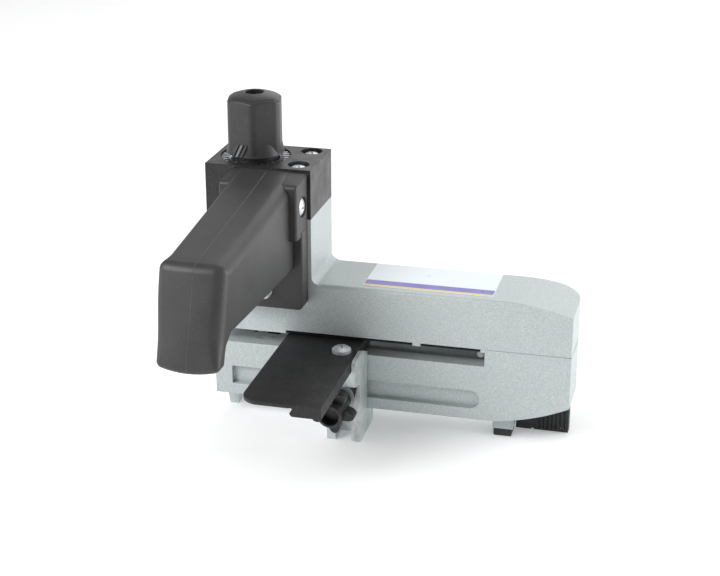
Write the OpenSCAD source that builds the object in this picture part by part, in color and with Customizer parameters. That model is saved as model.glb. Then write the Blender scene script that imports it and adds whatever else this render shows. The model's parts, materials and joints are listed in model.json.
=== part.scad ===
// Hand-held rotary strip cutter: a C-shaped frame with a throat, two shear
// wheels, a height knob and a sliding edge guide.
// Working frame: X along the jaw, Y front to back, Z up, with zero at the
// lower jaw's left, front, bottom corner. in_place() moves it to the part's frame.

/* [Lower jaw] */
// Length of the lower jaw
jaw_len = 181.5; // [178:0.5:186]
// Depth of the castings, front to back
depth = 38.5; // [38:0.5:40]
// Height of the lower jaw's working floor above its underside
jaw_h = 29.2; // [29:0.1:29.4]
// Height of the underside above the surface that the feet stand on
foot_h = 12; // [12:0.5:14]

/* [Throat] */
// Clear height of the throat
throat_h = 7.6; // [7.4:0.1:7.8]
// Depth of the throat, from the open end to its closed end
throat_len = 139.1; // [138:0.5:140]
// Thickness of the black strips that line the throat's roof
strip_t = 1.6; // [1.4:0.1:1.8]

/* [Upper casting] */
// Height of the arm's top above the underside of the lower jaw
arm_top = 64.4; // [63:0.5:66]
// Left face of the tower
tower_x0 = -1.8; // [-2.2:0.1:-1.6]
// Right face of the tower
tower_x1 = 51.7; // [51.4:0.1:52]
// Height of the tower casting
tower_top = 98; // [97:0.5:99]
// Height of the black head block on the tower
block_h = 24.9; // [24:0.1:26]

/* [Cutting wheels] */
// Diameter of each wheel
wheel_d = 26.4; // [26:0.1:26.6]
// Width of each wheel
wheel_w = 6.4; // [6:0.1:6.4]
// Side of the lower wheel that shears
shear_x = 22.9; // [22.7:0.1:23.1]
// Overlap of the two wheels when the upper one is fully down
overlap = 0.6; // [0.2:0.1:0.8]
// Centre of the wheels, front to back
wheel_y = 20; // [19.8:0.1:20.2]

/* [Height knob] */
// Centre of the knob, left to right
knob_x = 17.9; // [17.7:0.1:18.1]
// Width across the knob's flats
knob_af = 26.4; // [25:0.1:28]
// Height of the knob
knob_h = 31.2; // [29:0.1:34]
// Teeth on the click ring
click_teeth = 30; // [20:1:36]

/* [Handle] */
// Middle of the handle, left to right
handle_x = 30; // [29.5:0.1:30.5]
// Width of the grip at its free end
grip_w = 29; // [28:0.5:30]
// Reach of the handle in front of the castings
handle_end = 122; // [121:0.5:124]
// Thickness of the handle's mounting plate
plate_t = 10.5; // [9:0.5:12]

/* [Edge guide] */
// Face of the guide rail that the sheet runs against
guide_x = 62.9; // [60:0.1:66]
// Width of the guide rail
rail_w = 15; // [14:0.5:16]
// Reach of the guide plate in front of the jaw
guide_reach = 78.2; // [70:0.5:80]
// Height of the guide plate's top above the jaw's underside
guide_top = 35.9; // [35.6:0.1:36]
// Number of lobes on the lock knob
lobes = 5; // [5:1:6]

/* [Hidden] */
$fn = 64;

eps = 0.01;
gap = 0.3;           // clearance between pieces that move past each other
run = 0.05;          // radial clearance of a shaft in its bore

// Castings
roof_z = jaw_h + throat_h;
seam_z = roof_z + strip_t;
edge_r = 2;          // rounding of the castings' long edges
front_corner_r = 0.8;
back_corner_r = 12;  // rounding of the closed end's back corner
fillet_r = 3.5;      // between the tower and the arm
block_top = tower_top + block_h;
belly_r = 110;       // radius of the curve under the closed end
belly_x = 133;       // where that curve starts
brow_r = 120;        // radius of the curve on top of the closed end
brow_x = 146;        // where that curve starts
face_step = 0.4;     // how far the sliding face of the jaw is set back
groove_z = [6, 15.7];
groove_depth = 3;
groove_x = [8.8, 137];
hook_y = [9, 13];    // grooves above and below the jaw that hold the guide
hook_depth = 3.5;
floor_hook_depth = 2.5;
rib_x = [103, 107];  // rib of the arm between the two roof strips
strip_x = [38, 137];
strip_inset = 0.6;
end_pin_r = 1.8;
shaft_x = [3, 35.5]; // shaft inside the tower for the carriage
shaft_y = [wheel_y - 15.4, wheel_y + 15.4];
recess_x = [19.2, 27.1];
recess_y = [7.2, 9.7];
recess_depth = 1;

// Wheels and their axles
wheel_r = wheel_d / 2;
axle_r = 4;
bush_r = 6.5;
lower_z = jaw_h + 0.2 - wheel_r;
upper_z = roof_z + gap + 0.1 + wheel_r;
travel = upper_z - wheel_r - (jaw_h + 0.2) + overlap;
pocket_x = [shear_x - wheel_w - 0.6, shear_x + wheel_w + 0.9];
pocket_r = wheel_r + 0.8;
cover_t = 1.5;
cover_x = [11, 35];
cover_y = [3.5, 36.5];
cover_screw_xy = [[14, 6.5], [14, 33.5], [32, 6.5], [32, 33.5]];
cover_screw_r = 1.25;
cover_head_r = 2.4;

// Carriage
carriage_z = [upper_z - 5.5, 88];
carriage_step_z = upper_z + wheel_r + 2;

// Knob and lead screw
knob_z = block_top + 1.7;
knob_corner_r = 14.5; // over the rounded corners of its six sides
dome_r = 26;
ring_r = 17.5;       // recess for the click ring in the head block
ring_depth = 3;
screw_r = 4;
shank_r = 5;
flange_r = 8;
flange_z = [tower_top + 2.8, tower_top + 5.7];
keeper_t = 2.5;
keeper_r = 13;
keeper_angles = [90, 210, 330];
screw_end_z = carriage_z[1] - travel - 12.6; // 12.6 stays engaged at the lowest setting

// Fasteners
m5_head_r = 4.7;
m5_head_h = 3.4;
m5_r = 2.5;
seat_r = 5.35;       // counterbore round a pan head
block_seat_depth = 3.9;
block_screw_xy = [[43.3, 8.7], [43.3, 32.3]];
jaw_bolt_xy = [[160, 8.5], [160, 31], [172, 8.5], [172, 31]];
jaw_bolt_r = 3;
bolt_head_z = 11;
dowel_xy = [[147.5, 32], [147.5, 6]];
dowel_r = 2.5;
side_screw_yz = [-7, 106.7];
side_seat_x = 17;    // seats of the side screws, from the handle's middle
front_screw_z = 63.8;

// Feet
pad_t = 4;
foot_x = [142.5, 152.8];
foot_y = [10, 21];
lug_y = [14, 24];
shoe_x = [152.7, 179.2];
shoe_y = [21.5, 27.5];
shoe_screw_x = [158, 176];
shoe_screw_r = 1.25;

// Handle
root_x = [10.5, 49.4]; // thick root of the grip, at its front
root_z = [91.6, 121.6];
root_y = -16.5;
plate_x = [13.2, 50.2];
plate_z = [54.1, 121.9];
grip_slope = 6.3;
grip_top_z = 122.3;
grip_edge_r = 4;

// Guide and its bracket
bracket_x = [guide_x, guide_x + rail_w + 2.3];
plate_corner_r = 9;
stud_x = 70.1;
stud_z = (groove_z[0] + groove_z[1]) / 2;
stud_r = 3;
leg_y = -14.5;
leg_w = 4.6;
guide_screw_xy = [70.5, -13.7];
guide_screw_len = 14;
tail_y = 16;

mid_x = (tower_x0 + jaw_len) / 2;
mid_y = (depth - handle_end) / 2;

module in_place() {
    translate([-mid_x, -mid_y, foot_h]) children();
}

// Extrudes an outline drawn in X and Z from y0 to y1
module along_y(y0, y1) {
    translate([0, y1, 0]) rotate([90, 0, 0]) linear_extrude(y1 - y0) children();
}

// Extrudes an outline drawn in Y and Z from x0 to x1
module along_x(x0, x1) {
    translate([x0, 0, 0]) rotate([90, 0, 90]) linear_extrude(x1 - x0) children();
}

// Box between two corners
module box(a, b) {
    translate(a) cube(b - a);
}

// Rectangle between two corners with rounded corners
module round_rect(a, b, r) {
    translate([a[0] + r, a[1]]) square([b[0] - a[0] - 2 * r, b[1] - a[1]]);
    translate([a[0], a[1] + r]) square([b[0] - a[0], b[1] - a[1] - 2 * r]);
    for (x = [a[0] + r, b[0] - r], y = [a[1] + r, b[1] - r]) translate([x, y]) circle(r);
}

// What a rounding of radius r takes off the corner at p, with the material towards side
module corner_cut(p, side, r) {
    translate([p[0] - (side[0] > 0 ? 1 : r), p[1] - (side[1] > 0 ? 1 : r)]) difference() {
        square(r + 1);
        translate([side[0] > 0 ? r + 1 : 0, side[1] > 0 ? r + 1 : 0]) circle(r);
    }
}

module rod_x(x0, x1, y, z, r) {
    translate([x0, y, z]) rotate([0, 90, 0]) cylinder(h = x1 - x0, r = r);
}

module rod_y(y0, y1, x, z, r) {
    translate([x, y0, z]) rotate([-90, 0, 0]) cylinder(h = y1 - y0, r = r);
}

module rod_z(z0, z1, x, y, r) {
    translate([x, y, z0]) cylinder(h = z1 - z0, r = r);
}

// Pan head screw along -Z with its seat at the origin
module pan_screw(r, length) {
    head_r = r * m5_head_r / m5_r;
    head_h = r * m5_head_h / m5_r;
    slot_w = r * 0.4;
    difference() {
        union() {
            rotate_extrude() intersection() {
                square([head_r, head_h]);
                union() {
                    square([head_r, head_h * 0.45]);
                    translate([0, head_h - head_r * 1.5]) circle(head_r * 1.5);
                }
            }
            translate([0, 0, -length]) cylinder(h = length, r = r);
        }
        for (a = [0, 90]) rotate(a)
            translate([-head_r * 0.55, -slot_w / 2, head_h * 0.45]) cube([head_r * 1.1, slot_w, head_h]);
    }
}

// Socket head screw along +Z with the underside of its head at the origin
module socket_screw(r, length) {
    difference() {
        union() {
            translate([0, 0, -2 * r]) cylinder(h = 2 * r, r = 1.6 * r);
            cylinder(h = length, r = r);
        }
        translate([0, 0, -2 * r - eps]) cylinder(h = r, r = 0.95 * r, $fn = 6);
    }
}

// Castings

// Block with rounded corners that both castings are cut from, seen from above
module casting_plan() {
    translate([0, 0, -foot_h]) linear_extrude(block_top + foot_h) difference() {
        translate([tower_x0, 0]) square([jaw_len - tower_x0, depth]);
        corner_cut([tower_x0, 0], [1, 1], edge_r);
        corner_cut([tower_x0, depth], [1, -1], edge_r);
        corner_cut([jaw_len, 0], [-1, 1], front_corner_r);
        corner_cut([jaw_len, depth], [-1, -1], back_corner_r);
    }
}

module lower_outline() {
    difference() {
        polygon([
            [0, 0], [jaw_len, 0], [jaw_len, seam_z], [throat_len, seam_z], [throat_len, jaw_h], [0, jaw_h]
        ]);
        difference() {
            translate([belly_x, -1]) square([jaw_len - belly_x + 1, 20]);
            translate([belly_x, belly_r]) circle(belly_r, $fn = 128);
        }
    }
}

// Lens-shaped recess in the floor in front of the lower wheel
module floor_recess() {
    half = (recess_x[1] - recess_x[0]) / 2;
    rise = (recess_y[1] - recess_y[0]) / 2;
    r = (half * half + rise * rise) / (2 * rise);
    translate([recess_x[0] + half, recess_y[0] + rise, jaw_h - recess_depth])
        linear_extrude(recess_depth + 1) intersection() {
            translate([0, r - rise]) circle(r);
            translate([0, rise - r]) circle(r);
        }
}

module front_groove() {
    r = (groove_z[1] - groove_z[0]) / 2;
    along_y(-1, face_step + groove_depth) {
        translate([groove_x[0], groove_z[0]]) square([groove_x[1] - r - groove_x[0], 2 * r]);
        translate([groove_x[1] - r, groove_z[0] + r]) circle(r);
    }
}

module wheel_pocket() {
    rod_x(pocket_x[0], pocket_x[1], wheel_y, lower_z, pocket_r);
    box([pocket_x[0], wheel_y - pocket_r, -1], [pocket_x[1], wheel_y + pocket_r, lower_z]);
}

module lower_body() {
    color([0.72, 0.74, 0.74]) in_place() {
        difference() {
            union() {
                intersection() {
                    along_y(0, depth) lower_outline();
                    along_x(0, jaw_len) round_rect([0, 0], [depth, seam_z + edge_r], edge_r / 2);
                    casting_plan();
                }
                box([foot_x[0], foot_y[0], pad_t - foot_h], [foot_x[1], foot_y[1], 6]);
                intersection() {
                    along_y(lug_y[0], lug_y[1])
                        polygon([[0.5, 2], [2.6, -foot_h], [7, -foot_h], [8.6, -4], [8.6, 2]]);
                    rod_y(lug_y[0], lug_y[1], 4.6, 0, foot_h + 0.4);
                }
            }
            box([-1, -1, -1], [throat_len + 0.2, face_step, jaw_h + 1]);
            front_groove();
            wheel_pocket();
            floor_recess();
            box([cover_x[0], cover_y[0], -1], [cover_x[1], cover_y[1], cover_t]);
            for (p = cover_screw_xy) rod_z(0, 8, p[0], p[1], cover_screw_r);
            rod_x(-1, 5.5, wheel_y, lower_z, 7);
            rod_x(0, 40, wheel_y, lower_z, axle_r);
            box([44, hook_y[0], -1], [throat_len, hook_y[1], hook_depth]);
            box([50, hook_y[0], jaw_h - floor_hook_depth], [throat_len, hook_y[1], jaw_h + 1]);
            for (p = jaw_bolt_xy) {
                rod_z(-1, bolt_head_z + 2 * jaw_bolt_r, p[0], p[1], 5.2);
                rod_z(0, seam_z + 1, p[0], p[1], jaw_bolt_r);
            }
            for (p = dowel_xy) rod_z(seam_z - 8, seam_z + 1, p[0], p[1], dowel_r);
            for (x = shoe_screw_x) rod_z(-1, 16, x, (shoe_y[0] + shoe_y[1]) / 2, shoe_screw_r);
            slot_pin_shape();
        }
    }
}

module slot_pin_shape() {
    rod_y(1, depth - 1, throat_len - 2.2, roof_z - 1.4, end_pin_r);
}

module upper_outline() {
    difference() {
        polygon([
            [tower_x0, roof_z], [strip_x[0], roof_z], [strip_x[0], seam_z], [rib_x[0], seam_z],
            [rib_x[0], roof_z], [rib_x[1], roof_z], [rib_x[1], seam_z], [strip_x[1], seam_z],
            [strip_x[1], roof_z], [throat_len, roof_z], [throat_len, seam_z], [jaw_len, seam_z],
            [jaw_len, arm_top], [tower_x1 + fillet_r, arm_top], [tower_x1 + fillet_r, arm_top + fillet_r],
            [tower_x1, arm_top + fillet_r], [tower_x1, tower_top], [tower_x0, tower_top]
        ]);
        translate([tower_x1 + fillet_r, arm_top + fillet_r]) circle(fillet_r);
        difference() {
            translate([brow_x, arm_top - 20]) square([jaw_len - brow_x + 1, 21]);
            translate([brow_x, arm_top - brow_r]) circle(brow_r, $fn = 128);
        }
    }
}

module upper_body() {
    color([0.74, 0.76, 0.76]) in_place() {
        difference() {
            intersection() {
                along_y(0, depth) upper_outline();
                union() {
                    along_x(tower_x0, jaw_len) round_rect([0, roof_z - edge_r], [depth, arm_top], edge_r);
                    along_x(tower_x0, tower_x1 + fillet_r)
                        translate([0, roof_z]) square([depth, tower_top - roof_z]);
                }
                casting_plan();
                union() {
                    translate([0, 0, roof_z - 1]) linear_extrude(arm_top - roof_z + 1)
                        translate([tower_x0, 0]) square([jaw_len - tower_x0, depth]);
                    translate([0, 0, arm_top - 1]) linear_extrude(tower_top - arm_top + 1)
                        round_rect([tower_x0, 0], [tower_x1 + fillet_r, depth], 1.5);
                }
            }
            box([shaft_x[0], shaft_y[0], roof_z - 1], [shaft_x[1], shaft_y[1], tower_top + 1]);
            box([58, 5, seam_z - 1], [rib_x[0] - 2, depth - 5, arm_top - 6]);
            box([rib_x[1] + 2, 5, seam_z - 1], [strip_x[1] - 4, depth - 5, arm_top - 6]);
            for (p = block_screw_xy) rod_z(tower_top - 16, tower_top + 1, p[0], p[1], m5_r);
            for (p = jaw_bolt_xy) rod_z(seam_z - 1, bolt_head_z + 46, p[0], p[1], jaw_bolt_r);
            for (p = dowel_xy) rod_z(seam_z - 1, seam_z + 8, p[0], p[1], dowel_r);
            rod_y(-1, 4, handle_x, front_screw_z, m5_r);
            slot_pin_shape();
        }
    }
}

module head_block() {
    color([0.2, 0.2, 0.21]) in_place() {
        difference() {
            union() {
                box([tower_x0, 0, tower_top], [tower_x1, depth, block_top]);
                box([handle_x - 8, -11, tower_top + 2], [handle_x + 8, 1, block_top - 6]);
            }
            for (p = block_screw_xy) {
                rod_z(block_top - block_seat_depth, block_top + 1, p[0], p[1], seat_r);
                rod_z(tower_top - 1, block_top, p[0], p[1], m5_r);
            }
            rod_z(block_top - ring_depth, block_top + 1, knob_x, wheel_y, ring_r);
            rod_z(tower_top, block_top, knob_x, wheel_y, shank_r + run);
            rod_z(tower_top - 1, flange_z[1] + gap, knob_x, wheel_y, flange_r + 0.5);
            rod_z(tower_top - 1, tower_top + keeper_t, knob_x, wheel_y, keeper_r);
            for (a = keeper_angles) keeper_screw(a);
            rod_x(handle_x - 9, handle_x - 2, side_screw_yz[0], side_screw_yz[1], m5_r);
            rod_x(handle_x + 2, handle_x + 9, side_screw_yz[0], side_screw_yz[1], m5_r);
        }
    }
}

// Countersunk screw of the keeper plate, and the hole that it leaves
module keeper_screw(a) {
    translate([knob_x, wheel_y, tower_top]) rotate(a) translate([10.4, 0, 0]) {
        cylinder(h = 1.3, r1 = 2.5, r2 = 1.3);
        cylinder(h = 9, r = 1.3);
    }
}

module head_block_screws() {
    color([0.85, 0.85, 0.86]) in_place()
        for (p = block_screw_xy)
            translate([p[0], p[1], block_top - block_seat_depth]) rotate(25) pan_screw(m5_r, 34);
}

module jaw_bolts() {
    color([0.25, 0.25, 0.26]) in_place()
        for (p = jaw_bolt_xy)
            translate([p[0], p[1], bolt_head_z + 2 * jaw_bolt_r]) socket_screw(jaw_bolt_r, 38);
}

module dowel_pins() {
    color([0.7, 0.7, 0.71]) in_place()
        for (p = dowel_xy) rod_z(seam_z - 8, seam_z + 8, p[0], p[1], dowel_r);
}

module slot_end_pin() {
    color([0.6, 0.6, 0.6]) in_place() slot_pin_shape();
}

module roof_strip(x0, x1) {
    color([0.08, 0.08, 0.08]) in_place() difference() {
        box([x0, strip_inset, roof_z], [x1, depth - strip_inset, seam_z]);
        slot_pin_shape();
    }
}

module roof_strip_long() {
    roof_strip(strip_x[0], rib_x[0]);
}

module roof_strip_short() {
    roof_strip(rib_x[1], strip_x[1]);
}

module label_plate() {
    color([0.85, 0.88, 0.92]) in_place()
        translate([0, 0, arm_top]) linear_extrude(0.25) round_rect([76.5, 4.8], [141.5, 36.2], 1);
}

// Handle

// Side view of the grip, drawn in Y and Z
module grip_side() {
    polygon([
        [0, 122], [-43, 117.1], [-88, 112.7], [-103, 111], [-106.6, 109.2], [-108.8, 105.8],
        [-handle_end, 67.4], [-119.5, 65], [-112.5, 66.2], [-109.5, 73], [-103, 78.2],
        [-88, 78.4], [-56, 76.6], [0, 74]
    ]);
}

// Plan of the grip, drawn in X and Y
module grip_plan() {
    x0 = handle_x - grip_w / 2;
    x1 = handle_x + grip_w / 2;
    difference() {
        polygon([[x0 - 0.7, 0], [x1 + 1.2, 0], [x1 + 1, -70], [x1, -handle_end], [x0, -handle_end]]);
        corner_cut([x0, -handle_end], [1, 1], grip_edge_r);
        corner_cut([x1, -handle_end], [-1, 1], grip_edge_r);
    }
}

// Block that rounds the grip's two long top edges
module grip_top() {
    translate([0, 0, grip_top_z]) rotate([grip_slope, 0, 0])
        along_y(-handle_end - 10, 20)
            round_rect([handle_x - grip_w / 2 - 0.7, -80], [handle_x + grip_w / 2 + 1.2, 0], grip_edge_r);
}

module handle_root() {
    along_y(-plate_t, 0) difference() {
        translate([plate_x[0], plate_z[0]]) square([plate_x[1] - plate_x[0], plate_z[1] - plate_z[0]]);
        corner_cut([plate_x[0], plate_z[0]], [1, 1], 3);
        corner_cut([plate_x[1], plate_z[0]], [-1, 1], 3);
    }
    intersection() {
        along_x(root_x[0], plate_x[1]) polygon([
            [0, root_z[0]], [0, root_z[1]], [root_y + 3, root_z[1] - 1.8], [root_y + 0.9, root_z[1] - 2.9],
            [root_y, root_z[1] - 5], [root_y, root_z[0]]
        ]);
        linear_extrude(root_z[1] + 1)
            polygon([[plate_x[0], 0], [root_x[0], root_y], [root_x[1], root_y], [plate_x[1], 0]]);
    }
}

module handle_grip() {
    color([0.27, 0.26, 0.26]) in_place() {
        difference() {
            union() {
                handle_root();
                intersection() {
                    along_x(0, 60) grip_side();
                    linear_extrude(200) grip_plan();
                    grip_top();
                }
            }
            box([handle_x - 8, -11, tower_top], [handle_x + 8, 1, block_top - 6]);
            box([handle_x - 9, -98, 84], [handle_x + 9, -11 + eps, 106]);
            for (s = [-1, 1]) translate([handle_x, side_screw_yz[0], side_screw_yz[1]]) rotate([0, s * 90, 0]) {
                translate([0, 0, side_seat_x]) cylinder(h = 10, r = seat_r);
                cylinder(h = 20, r = m5_r);
            }
            rod_y(-plate_t - 1, 1, handle_x, front_screw_z, m5_r);
        }
    }
}

module handle_side_screws() {
    color([0.85, 0.85, 0.86]) in_place()
        for (s = [-1, 1]) translate([handle_x + s * side_seat_x, side_screw_yz[0], side_screw_yz[1]])
            rotate([0, s * 90, 0]) pan_screw(m5_r, 14);
}

module handle_front_screw() {
    color([0.85, 0.85, 0.86]) in_place()
        translate([handle_x, -plate_t, front_screw_z]) rotate([90, 0, 0]) pan_screw(m5_r, plate_t + 4);
}

// Feet

module front_foot_pad() {
    color([0.1, 0.1, 0.1]) in_place()
        box([foot_x[0] + 0.5, foot_y[0], -foot_h], [foot_x[1] - 0.7, foot_y[1], pad_t - foot_h]);
}

module end_shoe() {
    notch_x = [160.3, 162];
    color([0.12, 0.12, 0.12]) in_place() {
        difference() {
            along_y(shoe_y[0], shoe_y[1]) intersection() {
                translate([shoe_x[0], -foot_h]) square([shoe_x[1] - shoe_x[0], 26]);
                difference() {
                    translate([belly_x, -20]) square([60, 40]);
                    translate([belly_x, belly_r]) circle(belly_r, $fn = 128);
                }
            }
            box([notch_x[0], shoe_y[0] - 1, -foot_h - 1], [notch_x[1], shoe_y[1] + 1, -foot_h + 0.7]);
            for (x = shoe_screw_x) {
                rod_z(-20, -foot_h + 3, x, (shoe_y[0] + shoe_y[1]) / 2, 2.5);
                rod_z(-20, 20, x, (shoe_y[0] + shoe_y[1]) / 2, shoe_screw_r);
            }
        }
    }
}

module shoe_screws() {
    color([0.6, 0.6, 0.6]) in_place()
        for (x = shoe_screw_x) translate([x, (shoe_y[0] + shoe_y[1]) / 2, -foot_h + 3])
            rotate([180, 0, 0]) pan_screw(shoe_screw_r, 24);
}

// Lower wheel

module lower_axle() {
    color([0.7, 0.7, 0.7]) in_place() {
        difference() {
            union() {
                rod_x(1.3, 5.5, wheel_y, lower_z, 6.6);
                rod_x(5.5, 38, wheel_y, lower_z, axle_r);
            }
            translate([1.3 - eps, wheel_y, lower_z]) rotate([0, 90, 0]) cylinder(h = 3, r = 3.2, $fn = 6);
        }
    }
}

module lower_spacer() {
    color([0.6, 0.6, 0.58]) in_place() {
        difference() {
            rod_x(shear_x + gap + 0.3, pocket_x[1], wheel_y, lower_z, 6);
            rod_x(shear_x, pocket_x[1] + 1, wheel_y, lower_z, axle_r);
        }
    }
}

// Countersunk screw of the pocket cover, and the hole that it leaves
module cover_screw(p) {
    translate([p[0], p[1], 0]) {
        cylinder(h = cover_t, r1 = cover_head_r, r2 = cover_screw_r);
        cylinder(h = 7, r = cover_screw_r);
    }
}

module pocket_cover() {
    color([0.65, 0.66, 0.66]) in_place() {
        difference() {
            box([cover_x[0], cover_y[0], 0], [cover_x[1], cover_y[1], cover_t]);
            for (p = cover_screw_xy) cover_screw(p);
        }
    }
}

module cover_screws() {
    color([0.5, 0.5, 0.5]) in_place() {
        for (p = cover_screw_xy) difference() {
            cover_screw(p);
            box([p[0] - 1.5, p[1] - 0.3, -eps], [p[0] + 1.5, p[1] + 0.3, 0.6]);
        }
    }
}

// Shear wheel on the origin's X axis, its cutting face at x = 0
module shear_wheel() {
    rotate([0, 90, 0]) rotate_extrude($fn = 128) difference() {
        polygon([
            [bush_r, 0], [wheel_r, 0], [wheel_r, 1.6], [wheel_r - 1.6, wheel_w], [bush_r, wheel_w]
        ]);
        translate([9.5, wheel_w + 1.4]) circle(2);
    }
}

module bush(x0, x1) {
    rotate([0, 90, 0]) translate([0, 0, x0]) difference() {
        cylinder(h = x1 - x0, r = bush_r);
        translate([0, 0, -1]) cylinder(h = x1 - x0 + 2, r = axle_r + run);
    }
}

module lower_cutter() {
    color([0.62, 0.63, 0.65]) in_place()
        translate([shear_x, wheel_y, lower_z]) mirror([1, 0, 0]) shear_wheel();
}

module lower_bush() {
    color([0.72, 0.55, 0.3]) in_place()
        translate([shear_x, wheel_y, lower_z]) mirror([1, 0, 0]) bush(-0.2, wheel_w + 0.2);
}

module upper_cutter() {
    color([0.62, 0.63, 0.65]) in_place()
        translate([shear_x + gap, wheel_y, upper_z]) shear_wheel();
}

module upper_bush() {
    color([0.72, 0.55, 0.3]) in_place()
        translate([shear_x + gap, wheel_y, upper_z]) bush(-0.2, wheel_w + 0.2);
}

// Carriage in the tower

module cutter_carriage() {
    color([0.5, 0.51, 0.52]) in_place() {
        difference() {
            union() {
                box([shaft_x[0] + gap, shaft_y[0] + gap, carriage_z[0]],
                    [shear_x - gap, shaft_y[1] - gap, carriage_z[1]]);
                box([shaft_x[0] + gap, shaft_y[0] + gap, carriage_step_z],
                    [shaft_x[1] - gap, shaft_y[1] - gap, carriage_z[1]]);
            }
            rod_x(9, 40, wheel_y, upper_z, axle_r);
            rod_z(screw_end_z - 1, carriage_z[1] + 1, knob_x, wheel_y, screw_r + run);
        }
    }
}

module upper_axle() {
    color([0.7, 0.7, 0.7]) in_place() {
        difference() {
            union() {
                rod_x(9, 31, wheel_y, upper_z, axle_r);
                rod_x(31, 34.2, wheel_y, upper_z, 6);
            }
            translate([32, wheel_y, upper_z]) rotate([0, 90, 0]) cylinder(h = 3, r = 3.2, $fn = 6);
        }
    }
}

module upper_washer() {
    color([0.72, 0.72, 0.7]) in_place() {
        difference() {
            rod_x(30.2, 31, wheel_y, upper_z, 6.6);
            rod_x(30, 32, wheel_y, upper_z, axle_r);
        }
    }
}

// Knob

module click_ring() {
    base_z = block_top - ring_depth;
    color([0.16, 0.16, 0.17]) in_place() {
        difference() {
            union() {
                rod_z(base_z, base_z + 1.2, knob_x, wheel_y, ring_r);
                for (i = [0 : click_teeth - 1])
                    translate([knob_x, wheel_y, base_z + 1]) rotate(i * 360 / click_teeth)
                        translate([13.4, -0.7, 0]) cube([3.4, 1.4, 1.5]);
            }
            rod_z(base_z - 1, base_z + 3, knob_x, wheel_y, 12.4);
        }
    }
}

module depth_knob() {
    knob_r = knob_af / 2;
    color([0.24, 0.24, 0.25]) in_place() translate([knob_x, wheel_y, 0]) {
        difference() {
            union() {
                intersection() {
                    translate([0, 0, knob_z]) rotate(42) cylinder(h = knob_h, r = knob_r / cos(30), $fn = 6);
                    translate([0, 0, knob_z]) cylinder(h = knob_h, r = knob_corner_r);
                    translate([0, 0, knob_z + knob_h - dome_r]) sphere(dome_r, $fn = 128);
                }
                translate([0, 0, knob_z]) cylinder(h = 7, r1 = knob_r + 1.2, r2 = knob_r - 0.2);
                translate([0, 0, block_top - ring_depth + 0.4]) cylinder(h = ring_depth + 2, r = 11.6);
            }
            translate([0, 0, knob_z + knob_h - 9]) cylinder(h = 10, r = m5_head_r + 0.2);
            translate([0, 0, block_top - 4]) cylinder(h = 21, r = screw_r);
            translate([0, 0, block_top]) cylinder(h = knob_h, r = m5_r);
            translate([0, 0, block_top - 4]) cylinder(h = 4, r = shank_r + run);
        }
    }
}

module lead_screw() {
    color([0.66, 0.66, 0.68]) in_place() translate([knob_x, wheel_y, 0]) {
        difference() {
            union() {
                translate([0, 0, screw_end_z]) cylinder(h = block_top + 17 - screw_end_z, r = screw_r);
                translate([0, 0, flange_z[0]]) cylinder(h = flange_z[1] - flange_z[0], r = flange_r);
                translate([0, 0, flange_z[0]]) cylinder(h = block_top - flange_z[0], r = shank_r);
            }
            translate([0, 0, block_top - 4]) cylinder(h = 30, r = m5_r);
        }
    }
}

module knob_screw() {
    color([0.8, 0.8, 0.82]) in_place()
        translate([knob_x, wheel_y, knob_z + knob_h - 9]) pan_screw(m5_r, 23);
}

module screw_keeper() {
    color([0.6, 0.6, 0.6]) in_place() {
        difference() {
            rod_z(tower_top, tower_top + keeper_t, knob_x, wheel_y, keeper_r);
            rod_z(tower_top - 1, tower_top + keeper_t + 1, knob_x, wheel_y, screw_r + 0.5);
            for (a = keeper_angles) keeper_screw(a);
        }
    }
}

module keeper_screws() {
    color([0.3, 0.3, 0.3]) in_place() {
        for (a = keeper_angles) keeper_screw(a);
    }
}

// Edge guide

module fence_plate() {
    x0 = guide_x - 24.3;
    x1 = guide_x + rail_w;
    sheet_t = 1.8;
    rail_r = 1.6;
    color([0.12, 0.12, 0.13]) in_place() {
        difference() {
            union() {
                translate([0, 0, guide_top - sheet_t]) linear_extrude(sheet_t) difference() {
                    translate([x0, -guide_reach]) square([x1 - x0, guide_reach + tail_y]);
                    corner_cut([x0, -guide_reach], [1, 1], plate_corner_r);
                }
                along_y(-guide_reach, tail_y) difference() {
                    translate([guide_x, jaw_h + 0.8]) square([rail_w, guide_top - jaw_h - 0.8]);
                    corner_cut([guide_x, jaw_h + 0.8], [1, 1], rail_r);
                }
                box([guide_x + 2, hook_y[0] + gap, jaw_h - floor_hook_depth + gap],
                    [x1 - 1, hook_y[1] - gap, jaw_h + 1]);
            }
            rod_y(-guide_reach - 1, tail_y + 1, guide_x + 0.3, guide_top - 2.9, 1.3);
            rod_z(0, guide_top + 1, guide_screw_xy[0], guide_screw_xy[1], m5_r);
        }
    }
}

// Front view of the right leg, drawn in X and Z from the bracket's right side
module leg_outline() {
    polygon([
        [0, 20.5], [0, -foot_h], [-leg_w, -foot_h], [-leg_w, -4.2], [-3.5, 9.2], [-1.7, 18.1], [-1.7, 20.5]
    ]);
}

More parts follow.
